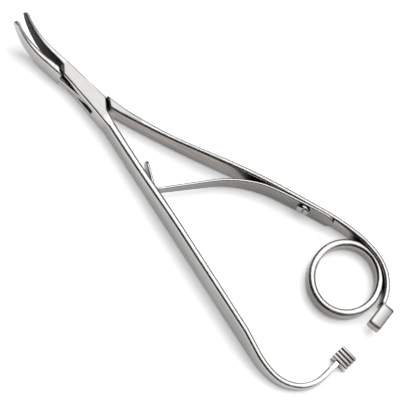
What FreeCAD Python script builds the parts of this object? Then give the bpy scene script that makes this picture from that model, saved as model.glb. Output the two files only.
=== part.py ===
import FreeCAD, Part
import math
import os

# Ring-and-ratchet needle holder, lying flat and a little open. Millimetres, degrees.
# X runs along the instrument with the jaw tips at -X, +Y is the ring side, +Z is up.
# The origin is on the underside, below the middle of the box lock's pin.

# How far the halves stand open as the instrument lies
rest_opening = 8.0

# Depth of the forged halves, from the underside up
body_depth = 7.6
lower_cheek = 2.3
tongue_depth = 2.5
layer_clearance = 0.05
forging_edge = 0.5

# Box lock in plan
lock_front = 12.6
lock_rear = 11.8
lock_half_width = 3.15
lock_front_half_width = 2.6
lock_rear_half_width = 3.9
root_reach = 4.0
shoulder_angle = 41.0
shoulder_clearance = 0.25
tongue_reach = 8.8
tongue_side_clearance = 0.20
pin_radius = 1.6
pin_running_clearance = 0.05
pin_press_clearance = 0.01

# Jaws, straight at the lock and curved upward to the tips
jaw_bend_start = 17.0
jaw_bend_radius = 21.0
jaw_bend_angle = 60.0
upper_jaw_tip_width = 0.5
upper_jaw_toe_in = 0.35
lower_jaw_tip_width = 1.05
jaw_tip_depth = 2.7
jaw_face_clearance = 0.04
jaw_edge = 0.5
jaw_root = 4.0
groove_pitch = 0.8
groove_depth = 0.22
groove_count = 29

# Ratchet leg
leg_start = (14.0, -2.3)
leg_heading = -12.1
leg_root_width = 2.9
leg_end_width = 2.3
leg_straight = 107.2
leg_ease_radius = 30.0
leg_ease_turn = 18.1
leg_hook_radius = 15.2
leg_hook_turn = 86.0
leg_upright = 8.0
leg_swell_start = 24.0
leg_swell = 1.7
leg_swell_full = 72.0
leg_ramp_start = 110.0
leg_ramp_end = 139.0
leg_end_depth = 3.1

# Ratchet block on the end of the leg
ridge_count = 4
ridge_pitch = 1.65
ridge_height = 3.65
ridge_round = 0.5
block_set_back = 3.0
block_length = 7.2
block_overlap = 0.3

# Ring handle
handle_start = (12.0, 1.5)
handle_heading = 8.75
handle_root_width = 3.2
handle_root_length = 24.0
handle_width = 2.0
handle_bow_radius = 328.5
handle_bow_turn = 8.2
handle_back_radius = 536.0
handle_back_turn = 4.5
handle_shoulder_radius = 76.1
handle_shoulder_turn = 14.2
hook_ease_radius = 35.7
hook_ease_turn = 14.9
hook_radius = 19.2
hook_turn = 58.8
hook_end = 1.6
handle_swell_start = 26.0
handle_swell = 2.0
handle_swell_full = 64.0
handle_swell_end = 108.0
hook_lift_start = 98.0
hook_lift_end = 122.0
hook_lift = 1.4

# Catch plate on the end of the ring handle
catch_set_back = 0.3
catch_width = 5.3
catch_length = 10.4
catch_overlap = 0.3
ratchet_clearance = 0.3
catch_thickness = 3.9
catch_corner = 0.9
catch_edge = 0.35
catch_groove_depth = 0.4
catch_groove_land = 0.3

# Finger ring, a little wider across the instrument than along it
ring_seat_angle = 60.4
ring_seat_bite = 0.93
ring_bore_along = 23.7
ring_bore_across = 27.0
ring_turn = 6.5
ring_band = 2.8
ring_depth = 5.5
ring_lift = 0.75
ring_edge = 0.8

# Leaf spring, a strip on edge, and its screw
spring_thickness = 0.9
spring_low = 0.7
spring_high = 8.4
spring_knee_low = 1.6
spring_knee_high = 5.8
spring_taper_start = 48.0
spring_taper_end = 76.0
spring_seat_gap = 0.02
spring_flat_behind_screw = 13.0
spring_flat_before_screw = 11.0
spring_bend_radius = 44.0
spring_bend_turn = 36.0
spring_knee_radius = 2.2
spring_tab_turn = 88.5
spring_tab_length = 10.0
spring_seat_corner = 3.4
spring_tab_corner = 1.8
spring_leg_gap = 0.15
screw_station = 83.3
screw_height = 5.0
screw_head_radius = 2.7
screw_head_height = 1.5
screw_slot = 0.8
screw_slot_depth = 0.7
screw_shank_radius = 1.1
screw_clearance = 0.1

# How far blocks that only cut or trim reach past the metal
reach_beyond = 60.0
reach_above = 20.0


def vec(x, y, z=0.0):
    return FreeCAD.Vector(x, y, z)


def turned(shape, degrees):
    """A copy turned about the lock's axis."""
    copy = shape.copy()
    copy.rotate(vec(0, 0), vec(0, 0, 1), degrees)
    return copy


def heading_vector(degrees):
    return (math.cos(math.radians(degrees)), math.sin(math.radians(degrees)))


class Path:
    """A plan route of straight runs and tangent arcs, measured by its length."""

    def __init__(self, start, heading):
        self.runs = []
        self.length = 0.0
        self.point = start
        self.heading = heading

    def add(self, length, turn=0.0):
        """Goes on for a length, turning evenly by so many degrees (left is positive)."""
        self.runs.append((self.length, length, self.point, self.heading, turn))
        self.point, self.heading = self._walk(self.point, self.heading, length, turn, length)
        self.length += length
        return self

    def arc(self, radius, turn):
        return self.add(radius * math.radians(abs(turn)), turn)

    @staticmethod
    def _walk(point, heading, length, turn, distance):
        part_turn = turn * distance / length
        chord = distance
        if abs(part_turn) > 1e-9:
            half = math.radians(part_turn) / 2
            chord = distance * math.sin(half) / half
        ux, uy = heading_vector(heading + part_turn / 2)
        return (point[0] + chord * ux, point[1] + chord * uy), heading + part_turn

    def at(self, station):
        """Place and heading at a distance along the route."""
        for begin, length, point, heading, turn in self.runs:
            if station <= begin + length + 1e-9:
                return self._walk(point, heading, length, turn, station - begin)
        return self.point, self.heading

    def offset(self, station, side):
        """The point that lies to the left of the route by side."""
        (x, y), heading = self.at(station)
        ux, uy = heading_vector(heading)
        return vec(x - side * uy, y + side * ux)

    def edges(self, side_at, begin=0.0, end=None):
        """The edges of a line beside the route; side_at gives its distance at each station."""
        end = self.length if end is None else end
        found = []
        for start, length, _, _, turn in self.runs:
            low = max(start, begin)
            high = min(start + length, end)
            if high - low < 1e-6:
                continue
            first = self.offset(low, side_at(low))
            last = self.offset(high, side_at(high))
            if abs(turn) < 1e-9:
                found.append(Part.LineSegment(first, last).toShape())
            else:
                middle_station = (low + high) / 2
                middle = self.offset(middle_station, side_at(middle_station))
                found.append(Part.Arc(first, middle, last).toShape())
        return found


def ribbon(path, width_at, low, high, begin=0.0, end=None):
    """A strip of changing width along a route, standing from low to high."""
    end = path.length if end is None else end
    left = path.edges(lambda s: width_at(s) / 2, begin, end)
    right = path.edges(lambda s: -width_at(s) / 2, begin, end)
    first = [path.offset(begin, width_at(begin) / 2), path.offset(begin, -width_at(begin) / 2)]
    last = [path.offset(end, width_at(end) / 2), path.offset(end, -width_at(end) / 2)]
    caps = [Part.makeLine(*first), Part.makeLine(*last)]
    wire = Part.Wire(Part.__sortEdges__(left + right + caps))
    face = Part.Face(wire)
    face.translate(vec(0, 0, low))
    return face.extrude(vec(0, 0, high - low))


def prism(points, low, high):
    """A block with the given plan corners."""
    corners = [vec(x, y, low) for x, y in points]
    wire = Part.makePolygon(corners + corners[:1])
    return Part.Face(wire).extrude(vec(0, 0, high - low))


def side_solid(edges):
    """A solid with a side outline in X and Z that runs right across the instrument."""
    face = Part.Face(Part.Wire(Part.__sortEdges__(edges)))
    face.translate(vec(0, -reach_beyond, 0))
    return face.extrude(vec(0, 2 * reach_beyond, 0))


def rounded(shape, radius, is_left):
    """Rounds the top and bottom rims; is_left tells by an edge's middle and direction that it stays sharp."""
    rims = []
    for edge in shape.Edges:
        middle = (edge.FirstParameter + edge.LastParameter) / 2
        point = edge.valueAt(middle)
        direction = edge.tangentAt(middle)
        if abs(direction.z) < 0.95 and not is_left(point, direction):
            rims.append(edge)
    return shape.makeFillet(radius, rims)


def taper(first, last, length):
    """A width that goes evenly from first to last over a length, then stays."""
    return lambda s: first + (last - first) * min(1.0, max(0.0, s / length))


# Side outline of the jaws, shared by both halves

def jaw_depth_at(angle):
    return body_depth + (jaw_tip_depth - body_depth) * angle / jaw_bend_angle


def jaw_point(angle, share):
    """A point of the bent jaw: angle along the bend, share from the underside (0) to the top (1)."""
    a = math.radians(angle)
    centre_x = -jaw_bend_start - jaw_bend_radius * math.sin(a)
    centre_z = body_depth / 2 + jaw_bend_radius * (1 - math.cos(a))
    reach = (share - 0.5) * jaw_depth_at(angle)
    return vec(centre_x + reach * math.sin(a), 0, centre_z + reach * math.cos(a))


def jaw_side_edges():
    """Underside, rounded tip and top of the bent jaws, from the straight part and back."""
    half = jaw_bend_angle / 2
    lower = Part.Arc(jaw_point(0, 0), jaw_point(half, 0), jaw_point(jaw_bend_angle, 0)).toShape()
    upper = Part.Arc(jaw_point(0, 1), jaw_point(half, 1), jaw_point(jaw_bend_angle, 1)).toShape()
    nose_angle = jaw_bend_angle + math.degrees(jaw_tip_depth / 4 / jaw_bend_radius)
    nose = jaw_point(nose_angle, 0.5)
    tip = Part.Arc(jaw_point(jaw_bend_angle, 0), nose, jaw_point(jaw_bend_angle, 1)).toShape()
    return [lower, tip, upper]


def polyline_edges(points):
    return [Part.makeLine(vec(*a), vec(*b)) for a, b in zip(points, points[1:])]


def swell_edge(first_x, first_z, last_x, last_z):
    """A side outline that leaves level and arrives level."""
    middle = (first_x + last_x) / 2
    curve = Part.BezierCurve()
    curve.setPoles([vec(first_x, 0, first_z), vec(middle, 0, first_z), vec(middle, 0, last_z), vec(last_x, 0, last_z)])
    return curve.toShape()


# Box lock in plan, in the frame where the jaws are shut and meet on y = 0

def shoulder_line(x_on_axis, shift=0.0):
    """Two far points of a lock shoulder that crosses y = 0 at x, moved along X by shift."""
    ux, uy = heading_vector(-shoulder_angle)
    x = x_on_axis + shift
    far_x = reach_beyond * ux
    far_y = reach_beyond * uy
    return (x - far_x, -far_y), (x + far_x, far_y)


def lock_strip(front_shift, rear_shift, low, high):
    """All the plan between the two shoulders of the lock."""
    front = shoulder_line(-lock_front, front_shift)
    rear = shoulder_line(lock_rear, rear_shift)
    return prism([front[0], front[1], rear[1], rear[0]], low, high)


def tongue_band(clearance, low, high):
    """The slanting band that the tongue fills, from the front left to the rear right."""
    run = lock_front + 1.0
    slope = math.atan2(lock_half_width, run)
    ux, uy = math.cos(slope), math.sin(slope)
    far = reach_beyond
    reach = lock_front * math.sin(slope) + clearance
    along_x, along_y = far * ux, far * uy
    aside_x, aside_y = reach * uy, reach * ux
    top = [(-along_x - aside_x, -along_y + aside_y), (along_x - aside_x, along_y + aside_y)]
    bottom = [(along_x + aside_x, along_y - aside_y), (-along_x + aside_x, -along_y - aside_y)]
    return prism(top + bottom, low, high)


def jaw_tip_x():
    return jaw_point(jaw_bend_angle, 0).x - jaw_tip_depth


def grip_y(x, side, toe_in):
    """Where the gripping face lies at x; toe_in is how far it leans over the middle at the tip."""
    share = max(0.0, (-lock_front - x) / (-lock_front - jaw_tip_x()))
    return side * (jaw_face_clearance - toe_in * share)


def jaw_plan(side, tip_width, toe_in, root, tall):
    """One jaw in plan. side is +1 or -1; root is how far it reaches behind the lock's front."""
    tip_x = jaw_tip_x()
    face = grip_y(-lock_front, side, toe_in)
    back = side * lock_front_half_width
    corners = [(tip_x, grip_y(tip_x, side, toe_in)), (tip_x, side * tip_width), (-lock_front, back)]
    if root > 0:
        corners += [(-lock_front + root, back), (-lock_front + root, face)]
    corners += [(-lock_front, face)]
    return prism(corners, -1.0, tall)


def rounded_jaw(jaw, side, toe_in, rear):
    """Rounds a jaw's rims as far back as rear; the gripping face keeps sharp edges."""
    def is_left(point, direction):
        grips = side * (point.y - grip_y(point.x, side, toe_in)) < 0.01
        return grips or point.x > rear
    return rounded(jaw, jaw_edge, is_left)


def box_plan(tall):
    """The box in plan, a little narrower in front than behind."""
    side = [(-lock_front, lock_front_half_width), (0.0, lock_half_width), (lock_rear, lock_rear_half_width)]
    other = [(x, -y) for x, y in reversed(side)]
    return prism(side + other, -1.0, tall)


def root_plan(path, side, width_at, tall):
    """The web that joins the lock to a handle's root. side is +1 for the ring half."""
    station = root_reach
    outer = path.offset(station, side * width_at(station) / 2)
    inner = path.offset(station, -side * width_at(station) / 2)
    corners = [(0.0, side * lock_half_width), (outer.x, outer.y), (inner.x, inner.y)]
    corners += [(lock_rear, 0.0), (0.0, 0.0)]
    return prism(corners, -1.0, tall)


def lock_layers():
    """Heights of the tongue's underside and top."""
    return lower_cheek, lower_cheek + tongue_depth


def leg_path():
    path = Path(leg_start, leg_heading)
    path.add(leg_straight)
    path.arc(leg_ease_radius, leg_ease_turn)
    path.arc(leg_hook_radius, leg_hook_turn)
    path.add(leg_upright)
    return path


def leg_width(station):
    return taper(leg_root_width, leg_end_width, leg_straight)(station)


def ratchet_ridge(index):
    """One rounded bar of the ratchet, full height, with a round outer end."""
    end, _ = leg_path().at(leg_path().length)
    x = end[0] - block_set_back
    y = end[1] - block_overlap + index * ridge_pitch
    radius = ridge_pitch / 2
    straight = block_length - radius
    bar = Part.makeBox(straight, ridge_pitch, ridge_height, vec(x, y, 0))
    nose = Part.makeCylinder(radius, ridge_height, vec(x + straight, y + radius, 0))
    whole = bar.fuse(nose).removeSplitter()
    top_edges = [e for e in whole.Edges if min(v.Z for v in e.Vertexes) > ridge_height - 0.001]
    kept = [e for e in top_edges if abs(e.BoundBox.XMax - x) > 0.01]
    return whole.makeFillet(ridge_round, kept)


def ratchet_block():
    """The toothed block: bars side by side."""
    block = ratchet_ridge(0)
    for index in range(1, ridge_count):
        block = block.fuse(ratchet_ridge(index))
    return block


def jaw_grooves(side, toe_in):
    """Fine cross grooves of a gripping face, square to the jaw's curve."""
    cutters = []
    start = -lock_front - 1.2
    for index in range(groove_count):
        travel = index * groove_pitch
        flat = jaw_bend_start + start
        if travel < flat:
            x, z, angle = start - travel, body_depth / 2, 0.0
        else:
            angle = math.degrees((travel - flat) / jaw_bend_radius)
            place = jaw_point(angle, 0.5)
            x, z = place.x, place.z
        cutters.append(groove_cutter(side, x, grip_y(x, side, toe_in), z, angle))
    return cutters


def groove_cutter(side, x, face, z, angle):
    half = groove_depth
    corners = [vec(-half, face - side * 0.01), vec(half, face - side * 0.01)]
    corners += [vec(0, face + side * groove_depth)]
    wire = Part.makePolygon(corners + corners[:1])
    cutter = Part.Face(wire).extrude(vec(0, 0, body_depth + 2))
    cutter.translate(vec(0, 0, -body_depth / 2 - 1))
    cutter.rotate(vec(0, 0), vec(0, 1, 0), angle)
    cutter.translate(vec(x, 0, z))
    return cutter


def ratchet_side():
    """Side outline of the ratchet half: bent jaw, level box, leg deepening and then stepping down at its end."""
    far = leg_ramp_end + reach_beyond
    full = body_depth + leg_swell
    under = [(-jaw_bend_start, 0, 0), (far, 0, 0), (far, 0, leg_end_depth), (leg_ramp_end, 0, leg_end_depth)]
    under += [(leg_ramp_start, 0, full), (leg_swell_full, 0, full)]
    swell = swell_edge(leg_swell_start, body_depth, leg_swell_full, full)
    front = polyline_edges([(leg_swell_start, 0, body_depth), (-jaw_bend_start, 0, body_depth)])
    return side_solid(polyline_edges(under) + [swell] + front + jaw_side_edges())


def ratchet_forging(tall):
    """Jaw and solid box with leg, rims rounded but for gripping face, lock front and leg end."""
    jaw = jaw_plan(1, upper_jaw_tip_width, upper_jaw_toe_in, 0.0, tall).common(ratchet_side())
    jaw = rounded_jaw(jaw, 1, upper_jaw_toe_in, -lock_front - 0.01)
    box = box_plan(tall).common(lock_strip(0.0, 0.0, -1.0, tall))
    leg = ribbon(leg_path(), leg_width, -1.0, tall)
    root = root_plan(leg_path(), -1, leg_width, tall)
    body = box.fuse([root, leg]).removeSplitter().common(ratchet_side())
    end, _ = leg_path().at(leg_path().length)

    def is_left(point, direction):
        return point.x < -tongue_reach or point.x > leg_ramp_end and point.y > end[1] - 0.1

    return jaw, rounded(body, forging_edge, is_left)


def ratchet_half():
    """The box half of the lock: upper right jaw, two cheeks, leg and ratchet, one forging."""
    low, high = lock_layers()
    tall = body_depth + reach_above
    jaw, body = ratchet_forging(tall)
    body = body.fuse(jaw)
    slot = tongue_band(tongue_side_clearance, low - layer_clearance, high + layer_clearance)
    slot = slot.common(lock_strip(-lock_half_width, lock_half_width, -1.0, tall))
    depth = tongue_depth + 2 * layer_clearance
    sweep = Part.makeCylinder(tongue_reach + tongue_side_clearance, depth, vec(0, 0, low - layer_clearance))
    slot = slot.fuse(sweep)
    body = body.cut(slot)
    body = body.cut(jaw_grooves(1, upper_jaw_toe_in))
    bore = Part.makeCylinder(pin_radius + pin_press_clearance, tall, vec(0, 0, -1))
    body = body.cut(bore)
    return body.fuse(ratchet_block()).removeSplitter()


def handle_path():
    path = Path(handle_start, handle_heading)
    path.arc(handle_bow_radius, handle_bow_turn)
    path.arc(handle_back_radius, -handle_back_turn)
    path.arc(handle_shoulder_radius, -handle_shoulder_turn)
    path.arc(hook_ease_radius, -hook_ease_turn)
    path.arc(hook_radius, -hook_turn)
    path.add(hook_end)
    return path


def handle_width_at(station):
    return taper(handle_root_width, handle_width, handle_root_length)(station)


def catch_plate():
    """The flat plate that carries the teeth which meet the ratchet, teeth underneath."""
    end, _ = handle_path().at(handle_path().length)
    x = end[0] - catch_set_back
    y = end[1] + catch_overlap - catch_length
    catch_underside = ridge_height + ratchet_clearance
    plate = Part.makeBox(catch_width, catch_length, catch_thickness, vec(x, y, catch_underside))
    upright = [e for e in plate.Edges if e.BoundBox.ZLength > catch_thickness - 0.01]
    plate = plate.makeFillet(catch_corner, upright)
    rim = [e for e in plate.Edges if e.BoundBox.ZMin > catch_underside + catch_thickness - 0.01]
    plate = plate.makeFillet(catch_edge, rim)
    for index in range(ridge_count):
        plate = plate.cut(catch_groove(x, y + (index + 1) * ridge_pitch, catch_underside))
    return plate


def catch_groove(x, y, underside):
    """One tooth space across the plate's underside."""
    half = ridge_pitch / 2 - catch_groove_land / 2
    start = vec(x - 1, y - half, underside)
    corners = [start, start + vec(0, half, catch_groove_depth), start + vec(0, 2 * half, 0)]
    wire = Part.makePolygon(corners + corners[:1])
    return Part.Face(wire).extrude(vec(catch_width + 2, 0, 0))


def ring_side():
    """Side outline of the ring half: bent jaw, level lock, handle deeper in the middle, hook lifting a little."""
    far = hook_lift_end + reach_beyond
    full = body_depth + handle_swell
    under = [(-jaw_bend_start, 0, 0), (hook_lift_start, 0, 0), (hook_lift_end, 0, hook_lift)]
    under += [(far, 0, hook_lift), (far, 0, body_depth), (handle_swell_end, 0, body_depth)]
    swell = [swell_edge(handle_swell_start, body_depth, handle_swell_full, full)]
    swell += [swell_edge(handle_swell_full, full, handle_swell_end, body_depth)]
    front = polyline_edges([(handle_swell_start, 0, body_depth), (-jaw_bend_start, 0, body_depth)])
    return side_solid(polyline_edges(under) + swell + front + jaw_side_edges())


def tongue_plan(tall):
    """The tongue: a slanting band, as wide as the box around the pin."""
    sides = box_plan(tall).common(lock_strip(-lock_half_width, 0.0, -1.0, tall))
    slant = sides.common(tongue_band(0.0, -1.0, tall))
    middle = box_plan(tall).common(Part.makeCylinder(tongue_reach, tall + 1, vec(0, 0, -1)))
    root = root_plan(handle_path(), 1, handle_width_at, tall).common(tongue_band(0.0, -1.0, tall))
    return slant.fuse([middle, root])


def ring_forging(tall):
    """Jaw and handle of the ring half outside the lock's shoulders, with rounded rims."""
    shoulders = lock_strip(-shoulder_clearance, shoulder_clearance, -2.0, tall)
    jaw = jaw_plan(-1, lower_jaw_tip_width, 0.0, jaw_root, tall).common(ring_side()).cut(shoulders)
    jaw = rounded_jaw(jaw, -1, 0.0, 0.0)
    handle = ribbon(handle_path(), handle_width_at, -1.0, tall, root_reach)
    root = root_plan(handle_path(), 1, handle_width_at, tall)
    arm = handle.fuse(root).removeSplitter().common(ring_side()).cut(shoulders).removeSplitter()
    end, _ = handle_path().at(handle_path().length)

    def is_left(point, direction):
        fold = min(abs(point.x - hook_lift_start), abs(point.x - hook_lift_end)) < 0.001
        return fold or point.x > hook_lift_start and point.y < end[1] + 0.2

    return jaw, rounded(arm, forging_edge, is_left)


def ring_half():
    """The tongue half of the lock: lower left jaw, tongue, handle, hook and catch, one forging."""
    low, high = lock_layers()
    tall = body_depth + reach_above
    jaw, arm = ring_forging(tall)
    handle = ribbon(handle_path(), handle_width_at, -1.0, tall)
    lock = tongue_plan(tall).fuse([jaw_plan(-1, lower_jaw_tip_width, 0.0, jaw_root, tall), handle])
    lock = lock.common(lock_strip(-2 * shoulder_clearance, 2 * shoulder_clearance, low, high))
    body = lock.fuse([jaw, arm])
    body = body.cut(jaw_grooves(-1, 0.0))
    body = body.cut(Part.makeCylinder(pin_radius + pin_running_clearance, tall, vec(0, 0, -1)))
    body = body.fuse(catch_plate())
    body = body.cut(ring_solid())
    shank = screw_frame(Part.makeCylinder(screw_shank_radius, 4 * handle_width, vec(0, 0, -2 * handle_width)))
    return body.cut(shank).removeSplitter()


def ring_centre():
    """The ring sits inside the hook, let into it by the bite at the seat's angle."""
    path = handle_path()
    start, heading = path.at(path.length - hook_end - hook_radius * math.radians(hook_turn))
    ux, uy = heading_vector(heading - 90)
    hook_x = start[0] + hook_radius * ux
    hook_y = start[1] + hook_radius * uy
    seat_x, seat_y = heading_vector(ring_seat_angle - ring_turn)
    half_x = ring_bore_along / 2 + ring_band
    half_y = ring_bore_across / 2 + ring_band
    reach = 1 / math.hypot(seat_x / half_x, seat_y / half_y)
    apart = hook_radius - handle_width / 2 - reach + ring_seat_bite
    ux, uy = heading_vector(ring_seat_angle)
    return hook_x + apart * ux, hook_y + apart * uy


def ring_solid():
    """The finger ring: an oval band with well rounded edges."""
    inner_x = ring_bore_along / 2
    inner_y = ring_bore_across / 2
    outer = oval_prism(inner_x + ring_band, inner_y + ring_band)
    inner = oval_prism(inner_x, inner_y)
    band = outer.cut(inner)
    rims = [e for e in band.Edges if e.BoundBox.ZLength < 0.001]
    return band.makeFillet(ring_edge, rims)


def oval_prism(half_x, half_y):
    """An upright oval block at the ring's place; the longer half axis lies across."""
    centre = vec(*ring_centre(), ring_lift)
    long_half = max(half_x, half_y)
    short_half = min(half_x, half_y)
    ellipse = Part.Ellipse(vec(0, 0), long_half, short_half)
    edge = ellipse.toShape()
    if half_y > half_x:
        edge.rotate(vec(0, 0), vec(0, 0, 1), 90)
    edge.rotate(vec(0, 0), vec(0, 0, 1), ring_turn)
    edge.translate(centre)
    return Part.Face(Part.Wire([edge])).extrude(vec(0, 0, ring_depth))


def lock_pin():
    """The pin through both cheeks and the tongue, polished off flush."""
    return Part.makeCylinder(pin_radius, body_depth)


def screw_frame(shape):
    """Moves a shape from its own axis (Z is out of the spring) to the screw's place."""
    path = handle_path()
    place = path.offset(screw_station, -handle_width / 2)
    _, heading = path.at(screw_station)
    moved = shape.copy()
    moved.rotate(vec(0, 0), vec(0, 0, 1), 90)
    moved.rotate(vec(0, 0), vec(1, 0, 0), 90)
    moved.rotate(vec(0, 0), vec(0, 0, 1), heading)
    moved.translate(place + vec(0, 0, screw_height))
    return moved


def spring_screw():
    """Slotted round-head screw that holds the spring to the handle."""
    under_head = spring_seat_gap + spring_thickness + spring_seat_gap
    shank = Part.makeCylinder(screw_shank_radius, under_head + handle_width, vec(0, 0, -handle_width))
    head = Part.makeCylinder(screw_head_radius, screw_head_height, vec(0, 0, under_head))
    crown = [e for e in head.Edges if e.BoundBox.ZMin > under_head + screw_head_height - 0.01]
    head = head.makeFillet(screw_head_height * 0.6, crown)
    slot_floor = under_head + screw_head_height - screw_slot_depth
    length = 2 * screw_head_radius + 1
    slot = Part.makeBox(length, screw_slot, screw_head_height, vec(-length / 2, -screw_slot / 2, slot_floor))
    return screw_frame(shank.fuse(head).cut(slot))


def leg_face_in_handle_frame():
    """A point and heading of the leg's inner face, as the ring half sees it at rest."""
    path = leg_path()
    place = path.offset(leg_straight / 3, leg_width(leg_straight / 3) / 2)
    a = math.radians(-rest_opening)
    x = place.x * math.cos(a) - place.y * math.sin(a)
    y = place.x * math.sin(a) + place.y * math.cos(a)
    lean = math.degrees(math.atan((leg_root_width - leg_end_width) / 2 / leg_straight))
    return (x, y), leg_heading - lean - rest_opening


def spring_path():
    """Route of the strip: along the handle, away in a bow, to the knee on the leg, and its tab."""
    handle = handle_path()
    side = -(handle_width / 2 + spring_seat_gap + spring_thickness / 2)
    rear = screw_station + spring_flat_behind_screw
    front = screw_station - spring_flat_before_screw
    (start, heading), (_, end_heading) = handle.at(rear), handle.at(front)
    first = handle.offset(rear, side)
    path = Path((first.x, first.y), heading + 180)
    add_handle_run(path, handle, rear, front, side)
    path.arc(spring_bend_radius, spring_bend_turn)
    path.add(knee_run(path))
    path.arc(spring_knee_radius, -spring_tab_turn)
    path.add(spring_tab_length)
    return path


def add_handle_run(path, handle, rear, front, side):
    """Follows the handle's own arcs backward from rear to front, beside it."""
    for begin, length, _, _, turn in reversed(handle.runs):
        high = min(rear, begin + length)
        low = max(front, begin)
        if high - low < 1e-6:
            continue
        part_turn = turn * (high - low) / length
        path.add(abs(handle.offset(high, side).sub(handle.offset(low, side)).Length), -part_turn)


def knee_run(path):
    """Length of the straight run that brings the outside of the knee just off the leg."""
    (face_x, face_y), face_heading = leg_face_in_handle_frame()
    nx, ny = heading_vector(face_heading + 90)
    ux, uy = heading_vector(path.heading)
    # The knee's centre of curvature lies to the right of the run
    cx = path.point[0] + spring_knee_radius * uy
    cy = path.point[1] - spring_knee_radius * ux
    stand_off = spring_knee_radius + spring_thickness / 2 + spring_leg_gap
    distance = (cx - face_x) * nx + (cy - face_y) * ny - stand_off
    return distance / -(ux * nx + uy * ny)


def round_strip_end(strip, end, radius):
    """Rounds the two corners of a strip on edge at one of its ends."""
    corners = []
    for edge in strip.Edges:
        middle = edge.valueAt((edge.FirstParameter + edge.LastParameter) / 2)
        if edge.BoundBox.ZLength < 0.001 and math.hypot(middle.x - end.x, middle.y - end.y) < 0.01:
            corners.append(edge)
    return strip.makeFillet(radius, corners)


def spring_side():
    """Side outline of the strip: deep on the handle, tapering to the knee, then even along the tab."""
    points = [(0, 0, spring_knee_low), (spring_taper_start, 0, spring_knee_low), (spring_taper_end, 0, spring_low)]
    points += [(hook_lift_end, 0, spring_low), (hook_lift_end, 0, spring_high)]
    points += [(spring_taper_end, 0, spring_high), (spring_taper_start, 0, spring_knee_high)]
    points += [(0, 0, spring_knee_high), (0, 0, spring_knee_low)]
    return side_solid(polyline_edges(points))


def leaf_spring():
    """The tapered strip on edge, bent to its route, with rounded ends and the screw's hole."""
    path = spring_path()
    strip = ribbon(path, lambda s: spring_thickness, 0.0, spring_high).common(spring_side())
    strip = round_strip_end(strip, path.offset(0.0, 0.0), spring_seat_corner)
    strip = round_strip_end(strip, path.offset(path.length, 0.0), spring_tab_corner)
    depth = 4 * spring_thickness
    hole = Part.makeCylinder(screw_shank_radius + screw_clearance, depth, vec(0, 0, -spring_thickness))
    return strip.cut(screw_frame(hole))


half_turn = rest_opening / 2
parts = {
    "ratchet_half": turned(ratchet_half(), -half_turn),
    "ring_half": turned(ring_half(), half_turn),
    "finger_ring": turned(ring_solid(), half_turn),
    "lock_pin": turned(lock_pin(), -half_turn),
    "leaf_spring": turned(leaf_spring(), half_turn),
    "spring_screw": turned(spring_screw(), half_turn),
}

os.makedirs("parts", exist_ok=True)
for name, shape in parts.items():
    solids = shape.Solids
    print(name, "solids", len(solids), "valid", shape.isValid(), "volume", round(shape.Volume, 2))
    shape.exportStep(os.path.join("parts", name + ".step"))
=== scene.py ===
import math

import bpy
from mathutils import Matrix, Vector


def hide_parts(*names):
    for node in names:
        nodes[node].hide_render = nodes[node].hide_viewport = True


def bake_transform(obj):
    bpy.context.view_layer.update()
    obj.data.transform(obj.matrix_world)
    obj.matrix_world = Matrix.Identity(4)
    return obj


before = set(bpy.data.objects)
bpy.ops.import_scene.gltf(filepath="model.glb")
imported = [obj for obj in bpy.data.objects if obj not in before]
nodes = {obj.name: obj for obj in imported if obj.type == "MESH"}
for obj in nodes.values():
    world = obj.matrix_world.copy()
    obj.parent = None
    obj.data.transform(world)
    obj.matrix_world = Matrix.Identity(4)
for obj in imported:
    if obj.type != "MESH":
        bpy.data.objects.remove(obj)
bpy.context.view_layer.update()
scene = bpy.context.scene


# Camera. The instrument lies on a table and is photographed from above with a long lens, tilted
# about 27 degrees from straight down and turned so that the jaws point to the upper left.

picture_width = 416
pixels_per_metre = 2630.0
right = Vector((0.7366, 0.6279, 0.2515)).normalized()
up = Vector((-0.671, 0.632, 0.387))
up = (up - right * up.dot(right)).normalized()
back = right.cross(up)
aim = Vector((0.06537, -0.00087, 0.0035))
camera_data = bpy.data.cameras.new("camera")
camera_data.lens = 200
camera_data.sensor_width = 36
camera_data.clip_start, camera_data.clip_end = 0.01, 20
distance = picture_width / pixels_per_metre * camera_data.lens / camera_data.sensor_width
camera = bpy.data.objects.new("camera", camera_data)
camera_turn = Matrix((right, up, back)).transposed().to_4x4()
camera.matrix_world = Matrix.Translation(aim + back * distance) @ camera_turn
scene.collection.objects.link(camera)
scene.camera = camera


# Table. A sheet of matt white acrylic, lit a little from below as on a product photographer's
# table, so that the shadows stay light and the sheet prints as plain white.

def linear(hex_colour):
    """An sRGB hex value as linear RGBA: each part c becomes c / 12.92 up to 0.04045, and
    ((c + 0.055) / 1.055) ^ 2.4 above."""
    values = [int(hex_colour[i:i + 2], 16) / 255 for i in (0, 2, 4)]
    rgb = [c / 12.92 if c <= 0.04045 else ((c + 0.055) / 1.055) ** 2.4 for c in values]
    return (*rgb, 1.0)


def add(tree, kind, inputs=None, **settings):
    """Adds one shader node, sets its properties, and sets or links its inputs by name or number."""
    made = tree.nodes.new(kind)
    for name, value in settings.items():
        setattr(made, name, value)
    for name, value in (inputs or {}).items():
        if isinstance(value, bpy.types.NodeSocket):
            tree.links.new(value, made.inputs[name])
        else:
            made.inputs[name].default_value = value
    return made


def empty_material(name):
    """A material whose shader is still to be made."""
    made = bpy.data.materials.new(name)
    made.use_nodes = True
    made.node_tree.nodes.clear()
    return made


sheet_half = 1.5
sheet_drop = 0.0002
sheet_mesh = bpy.data.meshes.new("table_sheet")
corners = [(x * sheet_half, y * sheet_half, 0) for x, y in ((-1, -1), (1, -1), (1, 1), (-1, 1))]
sheet_mesh.from_pydata(corners, [], [(0, 1, 2, 3)])
sheet = bpy.data.objects.new("table_sheet", sheet_mesh)
sheet.location.z = -sheet_drop
scene.collection.objects.link(sheet)

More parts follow.
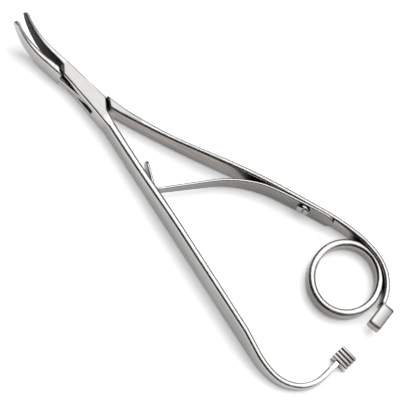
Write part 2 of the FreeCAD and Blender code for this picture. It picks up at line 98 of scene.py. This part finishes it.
# Off-white and rough, it gives the eye a soft shadow and no reflection of the instrument
acrylic = empty_material("white acrylic sheet, matt, lit from below")
shade = add(acrylic.node_tree, "ShaderNodeBsdfPrincipled", {
    "Base Color": linear("f6f6f6"), "Roughness": 0.9,
    "Emission Color": linear("ffffff"), "Emission Strength": 0.4})
add(acrylic.node_tree, "ShaderNodeOutputMaterial", {"Surface": shade.outputs["BSDF"]})
sheet_mesh.materials.append(acrylic)


# Studio. A dark room with one large softbox on the far side and a smaller one at the ring's end.
# Bright metal shows the softbox on its level faces and the dark room on its rounded edges.

world = bpy.data.worlds.new("dark studio room")
world.use_nodes = True
world.node_tree.nodes.clear()
room = add(world.node_tree, "ShaderNodeBackground", {"Color": linear("ffffff"), "Strength": 0.01})
add(world.node_tree, "ShaderNodeOutputWorld", {"Surface": room.outputs["Background"]})
scene.world = world


def softbox(name, place, width, height, radiance, mirrored=True):
    """A rectangular light that faces the instrument; its power is radiance x area x pi. One that
    isn't mirrored lights the sheet only, like a diffused lamp out of the metal's view."""
    light = bpy.data.lights.new(name, "AREA")
    light.shape = "RECTANGLE"
    light.size, light.size_y = width, height
    light.energy = radiance * width * height * math.pi
    lamp = bpy.data.objects.new(name, light)
    lamp.location = place
    lamp.rotation_mode = "QUATERNION"
    lamp.rotation_quaternion = (aim - Vector(place)).to_track_quat("-Z", "Y")
    lamp.visible_glossy = mirrored
    scene.collection.objects.link(lamp)


softbox("overhead_softbox", (0.12, 0.45, 0.89), width=1.35, height=0.72, radiance=1.75)
softbox("end_softbox", (0.95, 0.40, 0.40), width=0.7, height=0.9, radiance=0.55)
softbox("sheet_light", (0.1, 0.4, 1.0), width=1.4, height=1.4, radiance=1.9, mirrored=False)
scene.view_settings.view_transform = "Standard"


# Ratchet half. Drop-forged stainless steel: jaw, box, long leg and ridged block in one piece. It is
# ground on a belt along its length and buffed, with a satin top on the box and cross-cut jaw faces.

# How far up a face looks, as the height of its unit normal
wall_facing = (-0.6, 0.6)
level_facing = (0.985, 1.1)
# How squarely a face looks toward the other jaw
gripping_facing = (0.35, 1.1)

# Where finishes lie on a half as forged, in metres from the lock pin
jaw_x = (-0.05, -0.0128)
jaw_and_box_x = (-0.05, 0.012)
gripping_x = (-0.04, -0.0132)
gripping_y = (-0.0006, 0.0006)
handle_x = (0.018, 0.150)
pin_seat = (-0.0027, 0.0027)
# Span along X over which the plates' tops are painted from light to dark as painted shade
plate_painted_shade_x = (0.1395, 0.145)

# Relief and the roundness of edges, in metres
mark_depth = 0.000004
tooth_depth = 0.0001
box_edge = 0.0011
handle_edge = 0.0018
pin_edge = 0.0001
# How far the painted shade in corners and gaps looks for nearby surfaces
crevice_shade_reach = 0.003


def times(tree, *values):
    """The product of several masks."""
    product = values[0]
    for value in values[1:]:
        made = add(tree, "ShaderNodeMath", {0: product, 1: value}, operation="MULTIPLY")
        product = made.outputs["Value"]
    return product


def blend(tree, mask, first, second, is_colour=False):
    """The first value where the mask is 0 and the second where it is 1."""
    if is_colour:
        inputs = {0: mask, 6: first, 7: second}
        return add(tree, "ShaderNodeMix", inputs, data_type="RGBA").outputs[2]
    return add(tree, "ShaderNodeMix", {0: mask, 2: first, 3: second}).outputs[0]


def between(tree, value, span, blur):
    """1 where the value lies in the span, falling to 0 over the blur on each side."""
    low, high = span
    rise = add(tree, "ShaderNodeMapRange", {
        "Value": value, "From Min": low - blur, "From Max": low})
    fall = add(tree, "ShaderNodeMapRange", {
        "Value": value, "From Min": high, "From Max": high + blur, "To Min": 1.0, "To Max": 0.0})
    return times(tree, rise.outputs["Result"], fall.outputs["Result"])


def own_frame(tree, degrees):
    """Object coordinates turned about the lock so that X runs along the half as it was forged:
    the place, its three parts, and the three parts of the way the surface faces."""
    place = add(tree, "ShaderNodeTexCoord")
    turned = add(tree, "ShaderNodeMapping", {
        "Vector": place.outputs["Object"], "Rotation": (0, 0, math.radians(degrees))})
    parts = add(tree, "ShaderNodeSeparateXYZ", {"Vector": turned.outputs["Vector"]})
    facing = add(tree, "ShaderNodeSeparateXYZ", {"Vector": place.outputs["Normal"]})
    return turned.outputs["Vector"], parts.outputs, facing.outputs


def buffed_steel(tree, light_hex, dark_hex, roughness, mark_mm):
    """Colour, roughness and relief of buffed steel. The walls show the belt's marks: noise drawn out
    level with the table, mark_mm wide up the wall and 25 mm long, mixes two greys. The tops are
    buffed bright and even. Real marks are under 0.1 mm wide, too fine to show, so they are drawn
    coarser."""
    length_mm = 25
    place = add(tree, "ShaderNodeTexCoord")
    facing = add(tree, "ShaderNodeSeparateXYZ", {"Vector": place.outputs["Normal"]})
    wall = between(tree, facing.outputs["Z"], wall_facing, 0.2)
    drawn = add(tree, "ShaderNodeMapping", {
        "Vector": place.outputs["Object"],
        "Scale": (1000 / length_mm, 1000 / length_mm, 1000 / mark_mm)})
    marks = add(tree, "ShaderNodeTexNoise", {
        "Vector": drawn.outputs["Vector"], "Scale": 1.0, "Detail": 5.0})
    share = add(tree, "ShaderNodeMapRange", {
        "Value": marks.outputs["Fac"], "From Min": 0.4, "From Max": 0.6})
    marked = blend(tree, share.outputs["Result"], linear(dark_hex), linear(light_hex), True)
    grey = blend(tree, wall, linear("dcdbd9"), marked, True)
    gloss = add(tree, "ShaderNodeMapRange", {
        "Value": marks.outputs["Fac"], "To Min": roughness * 1.3, "To Max": roughness * 0.7})
    return grey, gloss.outputs["Result"], times(tree, wall, marks.outputs["Fac"])


def satin_grain(tree, own):
    """Fine straight scratches: noise 6 mm long and 0.3 mm wide. Real strokes are a few hundredths
    of a millimetre wide, too fine to show, so they are drawn coarser."""
    length_mm, width_mm = 6, 0.3
    drawn = add(tree, "ShaderNodeMapping", {
        "Vector": own, "Scale": (1000 / length_mm, 1000 / width_mm, 1000 / width_mm)})
    strokes = add(tree, "ShaderNodeTexNoise", {
        "Vector": drawn.outputs["Vector"], "Scale": 1.0, "Detail": 3.0})
    return strokes.outputs["Fac"]


def satin_top(tree, own):
    """Colour and roughness of the satin face on top of the lock, stroked along the instrument."""
    gloss = add(tree, "ShaderNodeMapRange", {
        "Value": satin_grain(tree, own), "To Min": 0.36, "To Max": 0.48})
    grey = blend(tree, satin_grain(tree, own), linear("c4c3c1"), linear("e9e8e6"), True)
    return grey, gloss.outputs["Result"]


def cross_cut(tree, own):
    """Height of two sets of grooves that cross at right angles, each at 45 degrees to the jaw's
    length. The real pitch of about 0.4 mm is too fine to show, so it is drawn as 0.6 mm."""
    pitch = 0.0006
    rows = []
    for degrees in (45, -45):
        slanted = add(tree, "ShaderNodeMapping", {
            "Vector": own, "Rotation": (0, math.radians(degrees), 0)})
        # A wave texture repeats every 2 pi / 20 of its own unit
        wave = add(tree, "ShaderNodeTexWave", {
            "Vector": slanted.outputs["Vector"], "Scale": 2 * math.pi / (20 * pitch)})
        rows.append(wave.outputs["Fac"])
    return times(tree, *rows)


def with_painted_crevice_shade(tree, colour):
    """Paints shade into corners and gaps: the colour falls towards near black where ambient
    occlusion finds nearby surfaces.
    """
    reach = add(tree, "ShaderNodeAmbientOcclusion", {"Distance": crevice_shade_reach}, samples=8)
    # Painted shade: where nearby surfaces close in, the colour goes to near black
    polished = add(tree, "ShaderNodeMapRange", {
        "Value": reach.outputs["AO"], "From Min": 0.25, "From Max": 0.68})
    return blend(tree, polished.outputs["Result"], linear("1c1b1a"), colour, True)


def bare_steel(tree, colour, gloss, edge=None, edge_samples=12, relief=None, depth=0.0):
    """Uncoated metal, its edges drawn rounder than the solid's and its marks cut to a depth."""
    inputs = {"Base Color": colour, "Metallic": 1.0, "Roughness": gloss}
    if edge is not None:
        eased = add(tree, "ShaderNodeBevel", {"Radius": edge}, samples=edge_samples)
        inputs["Normal"] = eased.outputs["Normal"]
    if relief is not None:
        cut = add(tree, "ShaderNodeBump", {
            "Height": relief, "Strength": 1.0, "Distance": depth, "Normal": inputs["Normal"]})
        inputs["Normal"] = cut.outputs["Normal"]
    metal = add(tree, "ShaderNodeBsdfPrincipled", inputs)
    add(tree, "ShaderNodeOutputMaterial", {"Surface": metal.outputs["BSDF"]})


def dress(node_name, material):
    """Gives a CAD piece its material."""
    nodes[node_name].data.materials.clear()
    nodes[node_name].data.materials.append(material)


def finish_forging(material, own_turn, gripping_side, wall_hexes, satin_x, plate, plate_painted_shade_hexes,
                   plate_edge):
    """Puts the finishes of one forging together: buffed all over, brighter on jaw and box, satin on
    the level top near the pin, cross-cut teeth on the jaw's gripping face with painted shade in
    their grooves, and a top ground across on the ratchet's own part, which plate places along X, Y
    and Z, painted from light to dark along X as painted shade. Painted shade also darkens corners
    and gaps."""
    tree = material.node_tree
    grey, gloss, relief = buffed_steel(tree, *wall_hexes, roughness=0.16, mark_mm=0.35)
    own, at, facing = own_frame(tree, own_turn)

    front = between(tree, at["X"], jaw_and_box_x, 0.004)
    grey = blend(tree, times(tree, front, 0.6), grey, linear("d6d5d3"), True)

    level = between(tree, facing["Z"], level_facing, 0.02)
    satin = times(tree, level, between(tree, at["X"], satin_x, 0.002))
    satin_grey, satin_gloss = satin_top(tree, own)
    grey = blend(tree, satin, grey, satin_grey, True)
    gloss = blend(tree, satin, gloss, satin_gloss)
    gloss = blend(tree, between(tree, at["X"], jaw_x, 0.0005), gloss, 0.32)

    inward = times(tree, facing["Y"], gripping_side)
    teeth = times(
        tree, between(tree, inward, gripping_facing, 0.1),
        between(tree, at["X"], gripping_x, 0.0003), between(tree, at["Y"], gripping_y, 0.0001))
    pyramids = cross_cut(tree, own)
    # Painted shade: the teeth are near black in their grooves and grey on their points
    teeth_grey_painted_groove_shade = blend(tree, pyramids, linear("0e0e0e"), linear("8a8987"), True)
    grey = blend(tree, teeth, grey, teeth_grey_painted_groove_shade, True)
    gloss = blend(tree, teeth, gloss, 0.5)
    relief = blend(tree, teeth, relief, pyramids)
    depth = blend(tree, teeth, mark_depth, tooth_depth)

    along, across, upward = (
        between(tree, at[axis], span, 0.0002) for axis, span in zip("XYZ", plate))
    on_plate = times(tree, along, across)
    ground = times(tree, on_plate, upward)
    # Painted shade: the plate's top goes from its light grey to its dark grey along X
    plate_shade_share = add(tree, "ShaderNodeMapRange", {
        "Value": at["X"], "From Min": plate_painted_shade_x[0], "From Max": plate_painted_shade_x[1]})
    lit_plate_grey, shaded_plate_grey = (linear(value) for value in plate_painted_shade_hexes)
    painted_shade_plate_grey = blend(tree, plate_shade_share.outputs["Result"], lit_plate_grey, shaded_plate_grey, True)
    grey = blend(tree, times(tree, ground, level), grey, painted_shade_plate_grey, True)
    gloss = blend(tree, ground, gloss, 0.3)

    edge = blend(tree, between(tree, at["X"], handle_x, 0.002), box_edge, handle_edge)
    over_pin = times(tree, *(between(tree, at[axis], pin_seat, 0.0001) for axis in "XY"))
    edge = blend(tree, over_pin, edge, pin_edge)
    edge = blend(tree, on_plate, edge, plate_edge)
    bare_steel(tree, with_painted_crevice_shade(tree, grey), gloss, edge, relief=relief, depth=depth)


# Fine belt marks on the walls give the eye long soft streaks of light, and the rounded rims a dark
# line beside the bright tops
ratchet_steel = empty_material("stainless steel, drop-forged, belt-ground and buffed")
finish_forging(
    ratchet_steel, own_turn=4, gripping_side=-1, wall_hexes=("c6c5c3", "aaa9a7"),
    satin_x=(-0.0125, 0.013), plate=((0.138, 0.147), (-0.006, 0.006), (0.0033, 0.004)),
    # The ratchet block's top is painted from light to dark as painted shade
    plate_painted_shade_hexes=("c0bfbd", "8e8d8b"), plate_edge=0.0003)
dress("ratchet_half", ratchet_steel)


# Ring half. The second forging, with the tongue that passes through the box. Its walls are given
# darker, warmer greys than the ratchet half's as painted shade, and the catch plate at its end is
# ground across.

# As on the ratchet half, and the plate's top is painted from bright to dark along its length as
# painted shade
ring_steel = empty_material("stainless steel, drop-forged, belt-ground and buffed, ring side")
finish_forging(
    # Wall greys darker than the ratchet half's: painted shade
    ring_steel, own_turn=-4, gripping_side=1, wall_hexes=("aea8a4", "8b8580"),
    satin_x=(0.006, 0.024), plate=((0.1355, 0.147), (-0.004, 0.0085), (0.0039, 0.009)),
    plate_painted_shade_hexes=("e2e1df", "71706e"), plate_edge=0.002)
dress("ring_half", ring_steel)


# Finger ring. Rolled from bar, brazed into the handle's hook and polished all round on a mop.

def polish(material, hexes, roughness, mark_mm, edge):
    """Buffed steel all over for a small piece without masks, with painted shade in its corners and
    gaps.
    """
    tree = material.node_tree
    grey, gloss, relief = buffed_steel(tree, *hexes, roughness, mark_mm)
    bare_steel(tree, with_painted_crevice_shade(tree, grey), gloss, edge, relief=relief, depth=mark_depth)


# A smoother polish than the halves have: clear light and dark bands that run round the ring
ring_polish = empty_material("stainless steel bar, rolled and mop-polished")
polish(ring_polish, ("9f9a96", "736e6a"), roughness=0.14, mark_mm=0.5, edge=0.0024)
dress("finger_ring", ring_polish)


# Lock pin. Stainless wire pressed through the box, ground flush and finished with it.

# The same satin as the box has, so that the pin hardly shows
pin_steel = empty_material("stainless pin, ground flush, satin")
satin_grey, satin_gloss = satin_top(pin_steel.node_tree, own_frame(pin_steel.node_tree, 4)[0])
bare_steel(pin_steel.node_tree, satin_grey, satin_gloss)
dress("lock_pin", pin_steel)


# Leaf spring. Hardened stainless strip on edge, cold-rolled, its edges broken by hand. It is screwed
# to the handle and its knee rests on the leg, so it bends as the halves close: a copy of its mesh,
# baked in place, is shown in place of the CAD solid, which is hidden.

# Darker and duller than the forgings, with fine lengthwise marks and soft broken edges
strip_steel = empty_material("stainless spring strip, cold-rolled, edges broken")
polish(strip_steel, ("93918e", "6c6a67"), roughness=0.22, mark_mm=0.25, edge=0.0008)
dress("leaf_spring", strip_steel)

stiff_strip = nodes["leaf_spring"]
bending_strip = bpy.data.objects.new("leaf_spring_bending", stiff_strip.data.copy())
bending_strip.matrix_world = stiff_strip.matrix_world
scene.collection.objects.link(bending_strip)
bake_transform(bending_strip)
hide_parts("leaf_spring")


# Spring screw. A turned round-head screw with a sawn slot, polished with the spring.

# Brighter than the strip, so that the small head stands out from it, and crisp at the slot
screw_steel = empty_material("stainless screw, turned and polished")
tree = screw_steel.node_tree
grey, gloss = buffed_steel(tree, "b0aeab", "8f8d8a", roughness=0.15, mark_mm=0.3)[:2]
# Painted shade darkens its corners and gaps
bare_steel(tree, with_painted_crevice_shade(tree, grey), gloss, edge=0.00015, edge_samples=8)
dress("spring_screw", screw_steel)
